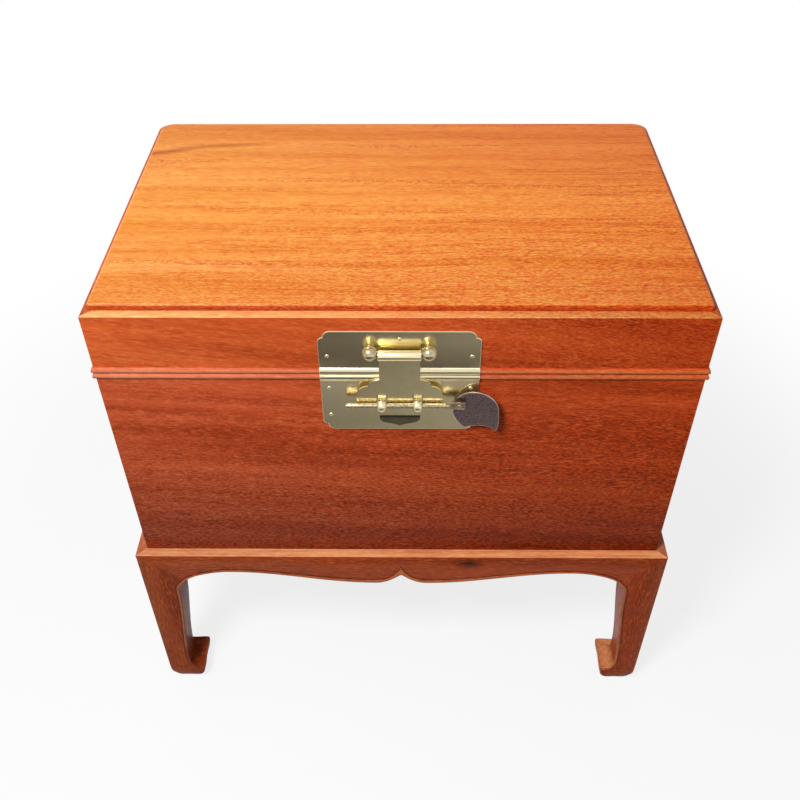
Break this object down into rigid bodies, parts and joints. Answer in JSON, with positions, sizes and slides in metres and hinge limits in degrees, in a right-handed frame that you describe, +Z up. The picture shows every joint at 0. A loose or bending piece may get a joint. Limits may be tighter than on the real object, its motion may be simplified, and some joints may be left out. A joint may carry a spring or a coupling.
{
  "type": "storage box on stand",
  "caption": "Rosewood storage box with a hinged raised-panel lid and a brass hasp lock closed by a sliding pin, resting loose on a hoof-footed stand with shaped aprons.",
  "frame": {"origin": "floor level, under the middle of the stand's footprint", "axes": "+X to the right along the front, +Y towards the back, +Z up; the lock faces -Y"},
  "size_m": [0.624, 0.4227, 0.6127],
  "materials": {
    "top_rosewood": "waxed, bright orange-brown",
    "box_rosewood": "waxed, red-brown",
    "stand_rosewood": "waxed, dark red-brown",
    "inner_wood": "planed, unwaxed",
    "brass": "polished",
    "old_brass": "worn",
    "dark_bronze": "dark patina"
  },
  "bodies": {
    "stand": {"stand_leg_front_left": "stand_rosewood", "stand_leg_front_right": "stand_rosewood", "stand_leg_back_left": "stand_rosewood", "stand_leg_back_right": "stand_rosewood", "stand_apron_front": "stand_rosewood", "stand_apron_right": "stand_rosewood", "stand_apron_back": "stand_rosewood", "stand_apron_left": "stand_rosewood", "stand_bearer_left": "inner_wood", "stand_bearer_right": "inner_wood"},
    "box": {"box_front_wall": "box_rosewood", "box_right_wall": "box_rosewood", "box_back_wall": "box_rosewood", "box_left_wall": "box_rosewood", "box_bottom_board": "inner_wood", "lower_lock_plate": "brass", "lower_lock_nail_left_high": "old_brass", "lower_lock_nail_left_low": "old_brass", "lower_lock_nail_right_high": "old_brass", "lower_lock_nail_right_low": "old_brass", "hinge_box_leaf_left": "brass", "hinge_box_leaf_right": "brass", "hinge_pin_left": "old_brass", "hinge_pin_right": "old_brass", "hinge_box_nail_left_outer": "old_brass", "hinge_box_nail_left_inner": "old_brass", "hinge_box_nail_right_outer": "old_brass", "hinge_box_nail_right_inner": "old_brass", "lock_eye_left": "brass", "lock_eye_right": "brass"},
    "lid": {"lid_front_rail": "box_rosewood", "lid_right_rail": "box_rosewood", "lid_back_rail": "box_rosewood", "lid_left_rail": "box_rosewood", "lid_top_panel": "top_rosewood", "lid_batten_left": "inner_wood", "lid_batten_right": "inner_wood", "upper_lock_plate": "brass", "upper_lock_nail_top": "old_brass", "upper_lock_nail_left": "old_brass", "upper_lock_nail_right": "old_brass", "hinge_lid_leaf_left": "brass", "hinge_lid_leaf_right": "brass", "hinge_lid_nail_left_outer": "old_brass", "hinge_lid_nail_left_inner": "old_brass", "hinge_lid_nail_right_outer": "old_brass", "hinge_lid_nail_right_inner": "old_brass", "hasp_post_left": "brass", "hasp_post_right": "brass", "hasp_axle": "old_brass"},
    "hasp": {"hasp": "brass"},
    "pin": {"lock_pin": "old_brass", "pull_leaf": "dark_bronze", "pull_rivet": "old_brass"}
  },
  "joints": [
    {"name": "box_lift", "type": "slide", "parent": "stand", "child": "box", "axis": [0, 0, 1], "range_m": [0, 0.06]},
    {"name": "lid_hinge", "type": "hinge", "parent": "box", "child": "lid", "pos_m": [0, 0.203, 0.5378], "axis": [-1, 0, 0], "range_deg": [0, 105]},
    {"name": "hasp_hinge", "type": "hinge", "parent": "lid", "child": "hasp", "pos_m": [0, -0.2071, 0.5688], "axis": [-1, 0, 0], "range_deg": [0, 150]},
    {"name": "pin_slide", "type": "slide", "parent": "box", "child": "pin", "axis": [1, 0, 0], "range_m": [0, 0.085]}
  ]
}
